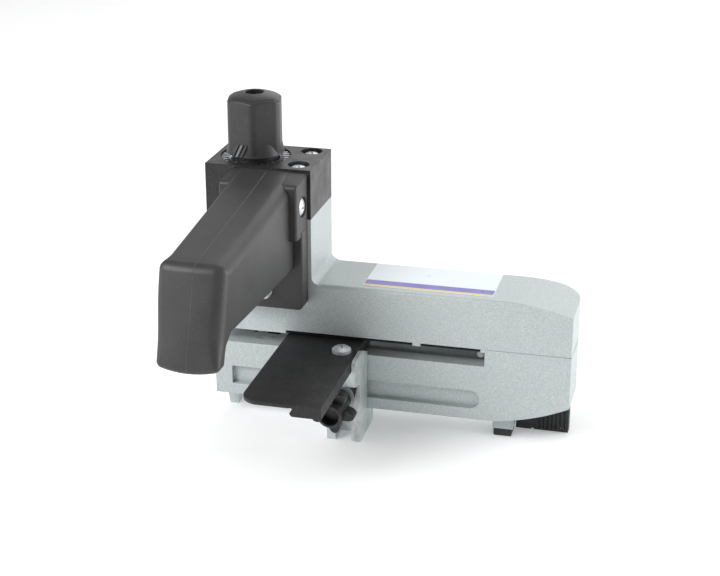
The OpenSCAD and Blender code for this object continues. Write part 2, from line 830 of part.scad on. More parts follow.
module fence_bracket() {
    x0 = bracket_x[0];
    x1 = bracket_x[1];
    top_z = jaw_h + 0.8;
    web_y = -6.5;
    hook_end = hook_y[1] - gap;
    color([0.6, 0.63, 0.62]) in_place() {
        difference() {
            union() {
                along_x(x0, x1) polygon([[0, 19.5], [0, top_z], [-24.5, top_z], [-24.5, 22.4], [-14.5, 19.5]]);
                along_x(x1 - 2, x1) polygon([
                    [0, 19.5], [0, 31.5], [-10.7, 36.1], [-23, 35.6], [-24.5, 34.2], [-24.5, 22.4], [-14.5, 19.5]
                ]);
                translate([x1, 0, 0]) along_y(leg_y, 0) leg_outline();
                translate([x0, 0, 0]) mirror([1, 0, 0]) along_y(leg_y, 0) leg_outline();
                for (x = [x0, x1 - leg_w]) box([x, -1, -foot_h], [x + leg_w, hook_end, -gap]);
                box([x0, web_y, -10.4], [x1, 0, 20]);
                box([x0, -1, -4], [x1, hook_end, -gap]);
                box([x0, hook_y[0] + gap, -4], [x1, hook_end, hook_depth - gap]);
                rod_y(web_y - 7, web_y + 1, stud_x, stud_z, 7);
            }
            rod_y(web_y - 8, 1, stud_x, stud_z, stud_r + run);
            rod_z(guide_top - guide_screw_len - 0.5, top_z + 1, guide_screw_xy[0], guide_screw_xy[1], m5_r);
        }
    }
}

module fence_screw() {
    color([0.85, 0.86, 0.88]) in_place()
        translate([guide_screw_xy[0], guide_screw_xy[1], guide_top]) rotate(20)
            pan_screw(m5_r, guide_screw_len);
}

module lock_knob() {
    hub_start = 15;      // all measured from the front of the jaw
    head = [24.8, 31];   // lobed part
    collar_end = 36;
    core_end = 27;       // bottom of the hollow in the collar
    color([0.1, 0.1, 0.1]) in_place() translate([stud_x, 0, stud_z]) rotate([90, 0, 0]) {
        difference() {
            union() {
                translate([0, 0, head[0]]) linear_extrude(head[1] - head[0]) {
                    circle(7.2);
                    for (i = [0 : lobes - 1]) rotate(i * 360 / lobes - 10) {
                        translate([9.3, 0]) circle(2.2);
                        polygon([[5, -4.4], [9.6, -2.1], [9.6, 2.1], [5, 4.4]]);
                    }
                }
                translate([0, 0, hub_start]) cylinder(h = head[0] + 1 - hub_start, r = 5.5);
                translate([0, 0, head[1] - 1]) cylinder(h = collar_end - head[1] + 1, r = 6);
            }
            translate([0, 0, core_end]) cylinder(h = collar_end - core_end + 1, r = 4.3);
            translate([0, 0, hub_start - 1]) cylinder(h = core_end - hub_start, r = stud_r);
        }
    }
}

module lock_stud() {
    tip = -(face_step + groove_depth - gap);
    color([0.66, 0.66, 0.68]) in_place() translate([stud_x, 0, stud_z]) rotate([90, 0, 0])
        translate([0, 0, tip]) cylinder(h = 26 - tip, r = stud_r);
}

lower_body();
upper_body();
head_block();
head_block_screws();
jaw_bolts();
dowel_pins();
slot_end_pin();
roof_strip_long();
roof_strip_short();
label_plate();
handle_grip();
handle_side_screws();
handle_front_screw();
lower_axle();
lower_spacer();
pocket_cover();
cover_screws();
front_foot_pad();
end_shoe();
shoe_screws();
click_ring();
screw_keeper();
keeper_screws();
depth_knob();
lead_screw();
knob_screw();
cutter_carriage();
upper_axle();
upper_washer();
upper_cutter();
upper_bush();
lower_cutter();
lower_bush();
fence_plate();
fence_bracket();
fence_screw();
lock_knob();
lock_stud();
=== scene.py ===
"""Looks for the hand-held strip cutter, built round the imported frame.

Detailed pieces are modelled in millimetres in the casting's own frame: X along the jaw, Y front to back and
Z up, with zero at the lower jaw's left, front, bottom corner. to_row() turns that into the row frame.
"""

import json
import math

import bmesh
import bpy
from mathutils import Matrix, Vector


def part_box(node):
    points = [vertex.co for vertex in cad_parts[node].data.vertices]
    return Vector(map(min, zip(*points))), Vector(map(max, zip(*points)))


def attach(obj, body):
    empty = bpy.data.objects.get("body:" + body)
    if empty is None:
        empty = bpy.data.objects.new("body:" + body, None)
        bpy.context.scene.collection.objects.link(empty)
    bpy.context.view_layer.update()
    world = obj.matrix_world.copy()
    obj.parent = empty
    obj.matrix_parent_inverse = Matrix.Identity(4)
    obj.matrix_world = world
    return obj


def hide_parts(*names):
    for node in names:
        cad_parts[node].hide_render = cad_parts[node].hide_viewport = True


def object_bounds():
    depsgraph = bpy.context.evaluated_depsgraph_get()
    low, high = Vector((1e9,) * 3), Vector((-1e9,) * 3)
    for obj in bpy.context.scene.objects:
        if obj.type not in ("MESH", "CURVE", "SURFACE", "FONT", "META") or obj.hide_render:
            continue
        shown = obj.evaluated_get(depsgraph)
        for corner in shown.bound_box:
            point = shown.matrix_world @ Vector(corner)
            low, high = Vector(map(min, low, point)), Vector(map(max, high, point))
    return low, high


MM = 0.001
SMOOTH_ANGLE = math.radians(35)

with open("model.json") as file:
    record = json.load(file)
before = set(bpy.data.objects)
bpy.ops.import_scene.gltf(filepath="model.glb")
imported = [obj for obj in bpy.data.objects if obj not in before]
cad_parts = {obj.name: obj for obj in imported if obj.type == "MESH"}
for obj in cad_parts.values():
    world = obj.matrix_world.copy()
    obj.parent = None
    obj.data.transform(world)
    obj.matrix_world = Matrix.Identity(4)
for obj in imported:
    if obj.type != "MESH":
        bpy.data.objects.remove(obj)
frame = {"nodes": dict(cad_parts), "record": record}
cad_low, cad_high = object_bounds()
cad_nodes = frame["nodes"]

# The pocket cover lies flush with the jaw's underside.
jaw_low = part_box("lower_body")[0]
CORNER = Vector((jaw_low.x, jaw_low.y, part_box("pocket_cover")[0].z))

SLOTS = {row["node"]: row["material_slot"] for row in frame["record"]["subparts"]}
BODIES = {node: body for body, nodes in frame["record"]["behaviour"]["bodies"].items() for node in nodes}


def to_row(point):
    """A point in the casting's millimetres, in the row frame's metres."""
    return CORNER + Vector(point) * MM


def span(node):
    """A CAD node's lowest and highest corners, in the casting's millimetres."""
    low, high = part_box(node)
    return (low - CORNER) / MM, (high - CORNER) / MM


# ---------------------------------------------------------------- camera, light, floor


def add_camera():
    """A camera in front of the tool, a little to its right and above it."""
    yaw, pitch, distance, lens = math.radians(-14.23), math.radians(21.31), 0.8142, 80.58
    aim = to_row((70.9, 21.6, 56.1))
    look = Vector((math.sin(yaw) * math.cos(pitch), math.cos(yaw) * math.cos(pitch), -math.sin(pitch)))
    data = bpy.data.cameras.new("camera")
    data.lens = lens
    data.sensor_width = 36
    data.clip_start, data.clip_end = 0.05, 20
    camera = bpy.data.objects.new("camera", data)
    bpy.context.scene.collection.objects.link(camera)
    camera.location = aim - look * distance
    camera.rotation_mode = "QUATERNION"
    camera.rotation_quaternion = look.to_track_quat("-Z", "Y")
    bpy.context.scene.camera = camera


def add_area_light(name, place, target, size, power):
    """A square softbox at a place, turned to a target."""
    data = bpy.data.lights.new(name, "AREA")
    data.shape = "SQUARE"
    data.size = size
    data.energy = power
    light = bpy.data.objects.new(name, data)
    bpy.context.scene.collection.objects.link(light)
    light.location = place
    light.rotation_mode = "QUATERNION"
    light.rotation_quaternion = (target - place).to_track_quat("-Z", "Y")


def add_lights():
    """Softboxes overhead, at the front, at the left, behind and at the right, and a pale world."""
    middle = (cad_low + cad_high) / 2
    softboxes = (
        ("softbox_top", (0.1, 0.2, 1.5), 1.4, 2.2),
        ("softbox_front", (-0.75, -0.85, 0.85), 0.6, 15.0),
        ("softbox_back", (0.1, 1.4, 0.85), 1.2, 5.5),
        ("softbox_left", (-1.3, -0.45, 0.18), 0.6, 2.5),
        ("softbox_right", (0.8, 0.32, 0.2), 0.6, 5.9),
    )
    for name, place, size, power in softboxes:
        add_area_light(name, middle + Vector(place), middle, size, power)
    world = bpy.data.worlds.new("studio")
    bpy.context.scene.world = world
    world.use_nodes = True
    background = world.node_tree.nodes["Background"]
    background.inputs["Color"].default_value = (1, 1, 1, 1)
    background.inputs["Strength"].default_value = 0.39
    bpy.context.scene.view_settings.view_transform = "Standard"
    bpy.context.scene.view_settings.look = "None"


def add_floor():
    """A plain pale floor that curves up into a backdrop far behind."""
    near, far, half, rise, bend = -3.0, 2.2, 4.0, 3.0, 1.0
    profile = [(near, 0.0), (far, 0.0)]
    profile += [
        (far + bend * math.sin(a), bend * (1 - math.cos(a)))
        for a in (math.radians(step * 9) for step in range(1, 11))
    ]
    profile.append((far + bend, rise))
    verts = [(x, y, z) for x in (-half, half) for y, z in profile]
    count = len(profile)
    faces = [(i, i + 1, count + i + 1, count + i) for i in range(count - 1)]
    mesh = bpy.data.meshes.new("floor")
    mesh.from_pydata(verts, [], faces)
    floor = bpy.data.objects.new("floor", mesh)
    bpy.context.scene.collection.objects.link(floor)
    floor.location.z = cad_low.z
    for polygon in mesh.polygons:
        polygon.use_smooth = True
    floor.data.materials.append(floor_material())


# ---------------------------------------------------------------- materials


class Finish:
    """A procedural material under construction, on object coordinates in metres."""

    def __init__(self, name):
        self.material = bpy.data.materials.new(name)
        self.material.use_nodes = True
        self.tree = self.material.node_tree
        self.shader = self.tree.nodes["Principled BSDF"]
        self.place = self.tree.nodes.new("ShaderNodeTexCoord").outputs["Object"]

    def node(self, kind, **values):
        made = self.tree.nodes.new(kind)
        for key, value in values.items():
            setattr(made, key, value)
        return made

    def link(self, source, target):
        self.tree.links.new(source, target)

    def stretched(self, scale):
        """Object coordinates, stretched by a scale for each axis."""
        mapping = self.node("ShaderNodeMapping")
        mapping.inputs["Scale"].default_value = scale
        self.link(self.place, mapping.inputs["Vector"])
        return mapping.outputs["Vector"]

    def noise(self, size_mm, detail=3.0, rough=0.55, vector=None):
        """Noise with features of about a given size."""
        made = self.node("ShaderNodeTexNoise")
        made.inputs["Scale"].default_value = 1 / (size_mm * MM)
        made.inputs["Detail"].default_value = detail
        made.inputs["Roughness"].default_value = rough
        self.link(vector or self.place, made.inputs["Vector"])
        return made.outputs["Fac"]

    def cells(self, size_mm):
        """A random value in each cell of a given size."""
        made = self.node("ShaderNodeTexVoronoi")
        made.inputs["Scale"].default_value = 1 / (size_mm * MM)
        self.link(self.place, made.inputs["Vector"])
        grey = self.node("ShaderNodeSeparateColor")
        self.link(made.outputs["Color"], grey.inputs["Color"])
        return grey.outputs["Red"]

    def ramp(self, value, stops):
        """A colour ramp through (position, colour) stops."""
        made = self.node("ShaderNodeValToRGB")
        elements = made.color_ramp.elements
        while len(elements) < len(stops):
            elements.new(0.5)
        for element, (position, colour) in zip(elements, stops):
            element.position = position
            element.color = (*colour, 1)
        self.link(value, made.inputs["Fac"])
        return made.outputs["Color"]

    def spread(self, value, low, high, new_low, new_high):
        """A value mapped from one range to another, clamped."""
        made = self.node("ShaderNodeMapRange")
        for key, number in (("From Min", low), ("From Max", high), ("To Min", new_low), ("To Max", new_high)):
            made.inputs[key].default_value = number
        self.link(value, made.inputs["Value"])
        return made.outputs["Result"]

    def mixed(self, share, first, second):
        """Two colours mixed by a share, each a colour or a socket."""
        made = self.node("ShaderNodeMix", data_type="RGBA")
        self.link(share, made.inputs["Factor"])
        for key, value in (("A", first), ("B", second)):
            socket = [s for s in made.inputs if s.name == key and s.type == "RGBA"][0]
            if isinstance(value, tuple):
                socket.default_value = (*value, 1)
            else:
                self.link(value, socket)
        return [s for s in made.outputs if s.type == "RGBA"][0]

    def painted_edge_highlight(self, amount):
        """A painted highlight along sharp edges: how exposed an edge is, from 0 to 1, scaled by an amount."""
        geometry = self.node("ShaderNodeNewGeometry")
        return self.spread(geometry.outputs["Pointiness"], 0.52, 0.60, 0.0, amount)

    def colour(self, socket):
        self.link(socket, self.shader.inputs["Base Color"])

    def rough(self, socket):
        self.link(socket, self.shader.inputs["Roughness"])

    def metal(self, value):
        self.shader.inputs["Metallic"].default_value = value

    def bump(self, height, depth_mm, strength=1.0, below=None):
        """Adds bump of a given depth, over an earlier bump if there is one."""
        made = self.node("ShaderNodeBump")
        made.inputs["Strength"].default_value = strength
        made.inputs["Distance"].default_value = depth_mm * MM
        self.link(height, made.inputs["Height"])
        if below:
            self.link(below, made.inputs["Normal"])
        self.link(made.outputs["Normal"], self.shader.inputs["Normal"])
        return made.outputs["Normal"]


def floor_material():
    """Plain pale floor with hardly any unevenness, lifted a little so that it reads as white."""
    finish = Finish("studio_floor")
    tone = finish.noise(60, 2)
    finish.colour(finish.ramp(tone, [(0.3, (0.93, 0.935, 0.94)), (0.7, (0.96, 0.96, 0.965))]))
    finish.shader.inputs["Roughness"].default_value = 0.75
    finish.shader.inputs["Emission Color"].default_value = (1, 1, 1, 1)
    finish.shader.inputs["Emission Strength"].default_value = 0.18
    return finish.material


def silver_paint():
    """Speckled silver-grey paint on a casting."""
    finish = Finish("silver_paint")
    grain = finish.noise(0.42, 2, 0.7)
    flakes = finish.cells(0.38)
    dark, middle, light = (0.345, 0.385, 0.385), (0.44, 0.485, 0.487), (0.56, 0.60, 0.60)
    base = finish.ramp(grain, [(0.3, dark), (0.5, middle), (0.7, light)])
    drift = finish.noise(14, 2)
    base = finish.mixed(finish.spread(drift, 0.35, 0.7, 0.0, 0.25), base, (0.40, 0.445, 0.455))
    base = finish.mixed(finish.spread(flakes, 0.86, 1.0, 0.0, 0.45), base, (0.74, 0.76, 0.76))
    finish.colour(base)
    finish.metal(0.15)
    finish.rough(finish.spread(grain, 0.3, 0.7, 0.40, 0.56))
    fine = finish.bump(grain, 0.035, 0.4)
    finish.bump(finish.noise(3.5, 2), 0.06, 0.35, fine)
    return finish.material


def black_anodised(name, streak, tone, rough):
    """Satin black metal with faint streaks along one axis."""
    finish = Finish(name)
    streaks = finish.noise(0.8, 3, 0.6, finish.stretched(streak))
    cloud = finish.noise(9, 2)
    low, high = (tone * 0.8,) * 3, (tone * 1.5, tone * 1.5, tone * 1.6)
    base = finish.ramp(streaks, [(0.3, low), (0.7, high)])
    dust = finish.cells(0.45)
    base = finish.mixed(finish.spread(dust, 0.975, 1.0, 0.0, 0.35), base, (0.20, 0.20, 0.20))
    finish.colour(base)
    finish.metal(0.25)
    finish.shader.inputs["Specular IOR Level"].default_value = 0.4
    finish.rough(finish.spread(cloud, 0.3, 0.7, rough - 0.07, rough + 0.07))
    finish.bump(streaks, 0.012, 0.5)
    return finish.material


def soft_plastic(name, colour, rough, grain_mm=0.5, dust=0.25, edge_highlight=0.0):
    """Moulded plastic with a fine spark grain, faint clouds and a little dust, and if asked a painted
    highlight along its sharp edges.
    """
    finish = Finish(name)
    cloud = finish.noise(18, 3)
    grain = finish.noise(grain_mm, 2, 0.6)
    darker = tuple(c * 0.84 for c in colour)
    lighter = tuple(c * 1.14 for c in colour)
    base = finish.ramp(cloud, [(0.32, darker), (0.68, lighter)])
    specks = finish.cells(0.6)
    base = finish.mixed(finish.spread(specks, 0.965, 1.0, 0.0, dust), base, (0.22, 0.21, 0.205))
    # Sharp edges lightened: a painted highlight, used on the knob's rim.
    if edge_highlight:
        base = finish.mixed(finish.painted_edge_highlight(edge_highlight), base, tuple(min(1.0, c * 3) for c in colour))
    finish.colour(base)
    finish.rough(finish.spread(grain, 0.3, 0.7, rough - 0.06, rough + 0.08))
    fine = finish.bump(grain, 0.03, 0.35)
    finish.bump(finish.noise(5, 2), 0.05, 0.2, fine)
    return finish.material


def bare_metal(name, colour, rough, streak=(1, 1, 1), metal=1.0):
    """Metal with fine machining or plating marks."""
    finish = Finish(name)
    marks = finish.noise(0.4, 3, 0.6, finish.stretched(streak))
    darker = tuple(c * 0.72 for c in colour)
    base = finish.ramp(marks, [(0.3, darker), (0.7, colour)])
    stain = finish.noise(4, 3)
    base = finish.mixed(finish.spread(stain, 0.55, 0.75, 0.0, 0.3), base, tuple(c * 0.6 for c in colour))
    finish.colour(base)
    finish.metal(metal)
    finish.rough(finish.spread(marks, 0.3, 0.7, rough - 0.07, rough + 0.1))
    finish.bump(marks, 0.01, 0.5)
    return finish.material


def raw_casting():
    """Dull grey die casting with flow marks and fine pits."""
    finish = Finish("raw_casting")
    flow = finish.noise(2.6, 4, 0.65, finish.stretched((1.0, 1.0, 0.45)))
    pits = finish.noise(0.5, 2)
    dark, middle, light = (0.40, 0.44, 0.44), (0.58, 0.625, 0.625), (0.78, 0.81, 0.81)
    base = finish.ramp(flow, [(0.3, dark), (0.55, middle), (0.75, light)])
    finish.colour(base)
    finish.metal(0.4)
    finish.rough(finish.spread(flow, 0.3, 0.7, 0.32, 0.52))
    fine = finish.bump(pits, 0.03, 0.4)
    finish.bump(flow, 0.08, 0.35, fine)
    return finish.material


def printed_film(name, colour):
    """Printed label film with a faint screen and slow unevenness."""
    finish = Finish(name)
    cloud = finish.noise(12, 2)
    screen = finish.noise(0.35, 1)
    base = finish.ramp(cloud, [(0.3, tuple(c * 0.93 for c in colour)), (0.7, colour)])
    base = finish.mixed(finish.spread(screen, 0.4, 0.8, 0.0, 0.12), base, tuple(c * 0.8 for c in colour))
    finish.colour(base)
    finish.rough(finish.spread(cloud, 0.3, 0.7, 0.27, 0.40))
    finish.bump(screen, 0.008, 0.3)
    return finish.material


MATERIALS = {
    "cast_silver": silver_paint(),
    "head_black": black_anodised("head_black", (1.0, 1.0, 0.12), 0.022, 0.40),
    "guide_black": black_anodised("guide_black", (1.0, 0.10, 1.0), 0.024, 0.54),
    "grip_plastic": soft_plastic("grip_plastic", (0.032, 0.031, 0.0305), 0.46, dust=0.1),
    # The knob's rim and edges get a painted highlight.
    "knob_plastic": soft_plastic(
        "knob_plastic", (0.021, 0.0208, 0.0214), 0.44, grain_mm=0.6, dust=0.1, edge_highlight=0.6
    ),
    "star_black": soft_plastic("star_black", (0.014, 0.014, 0.014), 0.38, dust=0.3),
    "rubber_black": soft_plastic("rubber_black", (0.028, 0.028, 0.029), 0.7, grain_mm=0.4, dust=0.2),
    "knob_bar": soft_plastic("knob_bar", (0.16, 0.16, 0.165), 0.35),
    "grip_line": soft_plastic("grip_line", (0.085, 0.078, 0.074), 0.6),
    "strip_black": soft_plastic("strip_black", (0.008, 0.008, 0.008), 0.5),
    "zinc_screw": bare_metal("zinc_screw", (0.90, 0.92, 0.94), 0.30, metal=0.5),
    "pin_grey": bare_metal("pin_grey", (0.26, 0.27, 0.27), 0.5, metal=0.3),
    "dark_steel": bare_metal("dark_steel", (0.06, 0.06, 0.062), 0.38, metal=0.8),
    "tool_steel": bare_metal("tool_steel", (0.60, 0.61, 0.63), 0.26, (0.2, 1.0, 1.0)),
    "bronze": bare_metal("bronze", (0.60, 0.38, 0.16), 0.36),
    "bracket_grey": raw_casting(),
    "label_print": printed_film("label_print", (0.74, 0.80, 0.84)),
    "label_band": printed_film("label_band", (0.115, 0.10, 0.42)),
    "label_line": printed_film("label_line", (0.72, 0.50, 0.10)),
}


def dress_cad_nodes():
    """Gives each CAD node the finish of its material slot."""
    for row in frame["record"]["subparts"]:
        node = cad_nodes[row["node"]]
        node.data.materials.clear()
        node.data.materials.append(MATERIALS[row["material_slot"]])


# ---------------------------------------------------------------- mesh helpers


def new_piece(name, points, faces, slot):
    """A mesh from points in the casting's millimetres."""
    mesh = bpy.data.meshes.new(name)
    mesh.from_pydata([to_row(p) for p in points], [], faces)
    mesh.validate()
    piece = bpy.data.objects.new(name, mesh)
    bpy.context.scene.collection.objects.link(piece)
    mesh.materials.append(MATERIALS[slot])
    outward(piece)
    return piece


def outward(piece):
    """Makes a mesh's faces point outward."""
    edit = bmesh.new()
    edit.from_mesh(piece.data)
    bmesh.ops.recalc_face_normals(edit, faces=edit.faces)
    edit.to_mesh(piece.data)
    edit.free()


def shade(piece, angle=SMOOTH_ANGLE):
    """Smooth shading that follows the large faces, with edges sharper than an angle kept sharp."""
    mesh = piece.data
    for polygon in mesh.polygons:
        polygon.use_smooth = True
    mesh.set_sharp_from_angle(angle=angle)
    modifier = piece.modifiers.new("weighted", "WEIGHTED_NORMAL")
    modifier.mode = "FACE_AREA"
    modifier.keep_sharp = True


def prism(name, outline, axis, low, high, slot):
    """An outline extruded along an axis: (x, z) points along Y, (y, z) along X, or (x, y) along Z."""
    def spot(point, level):
        if axis == "Y":
            return (point[0], level, point[1])
        if axis == "X":
            return (level, point[0], point[1])
        return (point[0], point[1], level)

    count = len(outline)
    points = [spot(p, low) for p in outline] + [spot(p, high) for p in outline]
    faces = [tuple(range(count)), tuple(range(2 * count - 1, count - 1, -1))]
    faces += [(i, count + i, count + (i + 1) % count, (i + 1) % count) for i in range(count)]
    return new_piece(name, points, faces, slot)


def ring_faces(rows, count):
    """The faces between rows of points that each close into a ring."""
    faces = []
    for row in range(rows - 1):
        for i in range(count):
            j = (i + 1) % count
            a, b = row * count, (row + 1) * count
            faces.append((a + i, a + j, b + j, b + i))
    return faces


def lathe(name, profile, slot, centre, axis="Z", steps=48):
    """Turns (radius, height) points round an axis through a centre, with flat ends if they aren't a loop."""
    turn = {
        "Z": Matrix.Identity(3),
        "X": Matrix(((0, 0, 1), (1, 0, 0), (0, 1, 0))),
        "-Y": Matrix(((1, 0, 0), (0, 0, -1), (0, 1, 0))),
    }[axis]
    points = []
    for radius, height in profile:
        for i in range(steps):
            angle = 2 * math.pi * i / steps
            spot = Vector((radius * math.cos(angle), radius * math.sin(angle), height))
            points.append(Vector(centre) + turn @ spot)
    faces = ring_faces(len(profile), steps)
    if profile[0] != profile[-1]:
        faces.append(tuple(range(steps)))
        faces.append(tuple(range(len(points) - 1, len(points) - steps - 1, -1)))
    return new_piece(name, points, faces, slot)


def block(name, low, high, slot):
    """A box between two corners, for cutting."""
    outline = [(low[0], low[2]), (high[0], low[2]), (high[0], high[2]), (low[0], high[2])]
    return prism(name, outline, "Y", low[1], high[1], slot)


def drum(name, centre, radius, low, high, axis, slot):
    """A cylinder for cutting, between two levels along its axis."""
    return lathe(name, [(radius, low), (radius, high)], slot, centre, axis)


def cut(piece, other):
    """Cuts another piece from this one, and deletes the other."""
    modifier = piece.modifiers.new("cut", "BOOLEAN")
    modifier.operation = "DIFFERENCE"
    modifier.object = other
    modifier.solver = "EXACT"
    apply_modifiers(piece)
    bpy.data.objects.remove(other)


def apply_modifiers(piece):
    """Bakes a piece's modifiers into its mesh."""
    graph = bpy.context.evaluated_depsgraph_get()
    graph.update()
    mesh = bpy.data.meshes.new_from_object(piece.evaluated_get(graph))
    piece.modifiers.clear()
    piece.data = mesh


def round_edges(piece, width_mm, segments=3, angle=40):
    """Rounds the edges sharper than an angle."""
    modifier = piece.modifiers.new("round", "BEVEL")
    modifier.width = width_mm * MM
    modifier.segments = segments
    modifier.limit_method = "ANGLE"
    modifier.angle_limit = math.radians(angle)
    modifier.miter_outer = "MITER_ARC"
    modifier.use_clamp_overlap = True
    apply_modifiers(piece)


def merge(name, pieces):
    """Joins separate pieces into one object without cutting them."""
    edit = bmesh.new()
    for piece in pieces:
        edit.from_mesh(piece.data)
    mesh = bpy.data.meshes.new(name)
    edit.to_mesh(mesh)
    edit.free()
    mesh.materials.append(pieces[0].data.materials[0])
    for piece in pieces:
        bpy.data.objects.remove(piece)
    merged = bpy.data.objects.new(name, mesh)
    bpy.context.scene.collection.objects.link(merged)
    return merged


def arc(centre, radius, start, end, steps):
    """Points on an arc, angles in degrees."""
    return [
        (
            centre[0] + radius * math.cos(math.radians(start + (end - start) * i / steps)),
            centre[1] + radius * math.sin(math.radians(start + (end - start) * i / steps)),
        )
        for i in range(steps + 1)
    ]


def rounded(corners, steps=6):
    """An outline whose corners, given as (x, y, radius), are rounded."""
    points = []
    for i, (x, y, radius) in enumerate(corners):
        here = Vector((x, y))
        if radius <= 0:
            points.append((x, y))
            continue
        before = (Vector(corners[i - 1][:2]) - here).normalized()
        after = (Vector(corners[(i + 1) % len(corners)][:2]) - here).normalized()
        half = before.angle(after) / 2
        centre = here + (before + after).normalized() * radius / math.sin(half)
        start = here + before * radius / math.tan(half) - centre
        end = here + after * radius / math.tan(half) - centre
        first = math.atan2(start.y, start.x)
        turn = (math.atan2(end.y, end.x) - first + math.pi) % (2 * math.pi) - math.pi
        for angle in (first + turn * k / steps for k in range(steps + 1)):
            points.append((centre.x + radius * math.cos(angle), centre.y + radius * math.sin(angle)))
    return points


def limited(share):
    """A share held between 0 and 1."""
    return min(1.0, max(0.0, share))


def ease(share):
    """A share held between 0 and 1, with a smooth start and stop."""
    share = limited(share)
    return share * share * (3 - 2 * share)


def denser(outline, gap):
    """An outline with points added, so that no two neighbours are further apart than a gap."""
    points = []
    for i, spot in enumerate(outline):
        following = outline[(i + 1) % len(outline)]
        parts = max(1, math.ceil(math.dist(spot, following) / gap))
        points += [tuple(a + (b - a) * k / parts for a, b in zip(spot, following)) for k in range(parts)]
    return points


def refined(node, width_mm, segments=3, angle=30):
    """A piece grown from a CAD node's own surface, with its edges rounded."""
    edit = bmesh.new()
    edit.from_mesh(cad_nodes[node].data)
    bmesh.ops.remove_doubles(edit, verts=edit.verts, dist=0.01 * MM)
    bmesh.ops.dissolve_limit(edit, angle_limit=math.radians(0.4), verts=edit.verts, edges=edit.edges)
    mesh = bpy.data.meshes.new(node + "_look")
    edit.to_mesh(mesh)
    edit.free()
    for name in ("custom_normal", "sharp_edge", "sharp_face"):
        if name in mesh.attributes:
            mesh.attributes.remove(mesh.attributes[name])
    piece = bpy.data.objects.new(node + "_look", mesh)
    bpy.context.scene.collection.objects.link(piece)
    mesh.materials.clear()
    mesh.materials.append(MATERIALS[SLOTS[node]])
    round_edges(piece, width_mm, segments, angle)
    return piece


def add_extra(piece, node, angle=SMOOTH_ANGLE):
    """Places a piece that adds a detail beside a CAD node."""
    shade(piece, angle)
    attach(piece, BODIES[node])


def settle(piece, node, angle=SMOOTH_ANGLE):
    """Places a piece that stands for one CAD node."""
    add_extra(piece, node, angle)
    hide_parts(node)


# ---------------------------------------------------------------- castings


def add_castings():
    """Both castings with rounded edges and the open seam between them, and the head block."""
    jaw_top = span("lower_body")[1]
    end, back, seam = jaw_top.x, jaw_top.y, jaw_top.z
    seam_start = span("roof_strip_short")[1].x + 2.4
    for node in ("lower_body", "upper_body"):
        casting = refined(node, 0.5)
        wedge = [(-1, seam - 0.2), (back + 1, seam - 0.9), (back + 1, seam + 0.8), (-1, seam + 0.1)]
        cut(casting, prism("seam_end", wedge, "X", end - 1.2, end + 2, "cast_silver"))
        slit_low, slit_high = (seam_start, -1, seam - 0.15), (end + 1, 0.3, seam + 0.15)
        cut(casting, block("seam_front", slit_low, slit_high, "cast_silver"))
        settle(casting, node)
    settle(refined("head_block", 0.45), "head_block")


# ---------------------------------------------------------------- handle


# Where the mould line runs, along X.
GRIP_MIDDLE = 30.3


def grip_outline():
    """The grip's side view, round from the root's top to its underside: (y, z, left radius, right radius)."""
    end = span("handle_grip")[0].y
    # Each corner is (y, z, radius). Places near the grip's free end are given from that end.
    corners = [
        (0.5, 121.9, 0), (-43, 116.9, 160), (-75, 113.9, 0), (end + 15.2, 110.9, 5.5),
        (end - 0.2, 65.4, 2.6), (end + 9.2, 65.9, 1.6), (end + 12.6, 74.2, 3.5), (end + 20.5, 78.7, 7),
        (-56, 76.6, 0), (0.5, 74.0, 0),
    ]
    # The underside and the foot of the end have harder edges than the top.
    hard, soft_left, soft_right = 2.2, 0.9, 3.6
    points = []
    for y, z in denser(rounded(corners, 8), 4):
        under = z < 0.36 * (y - end) + 76 and y > end + 4
        soft = 0.0 if under else limited((z - 67) / 12)
        points.append((y, z, hard + soft_left * soft, hard + soft_right * soft))
    return points


def inward_normals(outline):
    """The direction into the grip at each point of its side view."""
    normals = []
    for i in range(len(outline)):
        before, after = outline[i - 1], outline[(i + 1) % len(outline)]
        along = Vector((after[0] - before[0], after[1] - before[1])).normalized()
        normals.append(Vector((-along.y, along.x)))
    return normals


def grip_sides(y, z, end):
    """Where the grip's left and right sides are. They draw in towards the end, where the left flares out."""
    share = y / end
    flare = 1.9 * ease((-96 - y) / 12) * ease((z - 68) / 34)
    return 14.6 + 0.9 * share - flare, 45.8 - 1.3 * share


def grip_columns():
    """The stations across the grip: a quarter round at each side and a flat stretch between them."""
    quarter = [math.radians(15 * k) for k in range(7)]
    columns = [("left", math.sin(a), math.cos(a)) for a in quarter]
    columns += [("flat", k / 8, 0) for k in range(1, 8)]
    columns += [("right", math.sin(a), math.cos(a)) for a in reversed(quarter)]
    return columns


def grip_body(outline, normals, end):
    """The bar that the hand holds, with soft edges and a slightly crowned end."""
    points = []
    for kind, first, second in grip_columns():
        for (y, z, left_radius, right_radius), normal in zip(outline, normals):
            left, right = grip_sides(y, z, end)
            radius = left_radius if kind == "left" else right_radius
            if kind == "flat":
                start, stop = left + left_radius, right - right_radius
                x, inset = start + (stop - start) * first, 0.0
            else:
                inset = radius * (1 - first)
                away = radius * (1 - second)
                x = left + away if kind == "left" else right - away
            crown = ((x - GRIP_MIDDLE) / 15) ** 2 * limited((end + 25 - y) / 20)
            low = limited((84 - z) / 12)
            spot = Vector((y, z)) + normal * inset
            points.append((x, spot.x + 1.6 * crown, spot.y + 1.8 * crown * low))
    count = len(outline)
    faces = [tuple(range(count)), tuple(range(len(points) - 1, len(points) - count - 1, -1))]
    faces += ring_faces(len(points) // count, count)
    return new_piece("grip", points, faces, "grip_plastic")


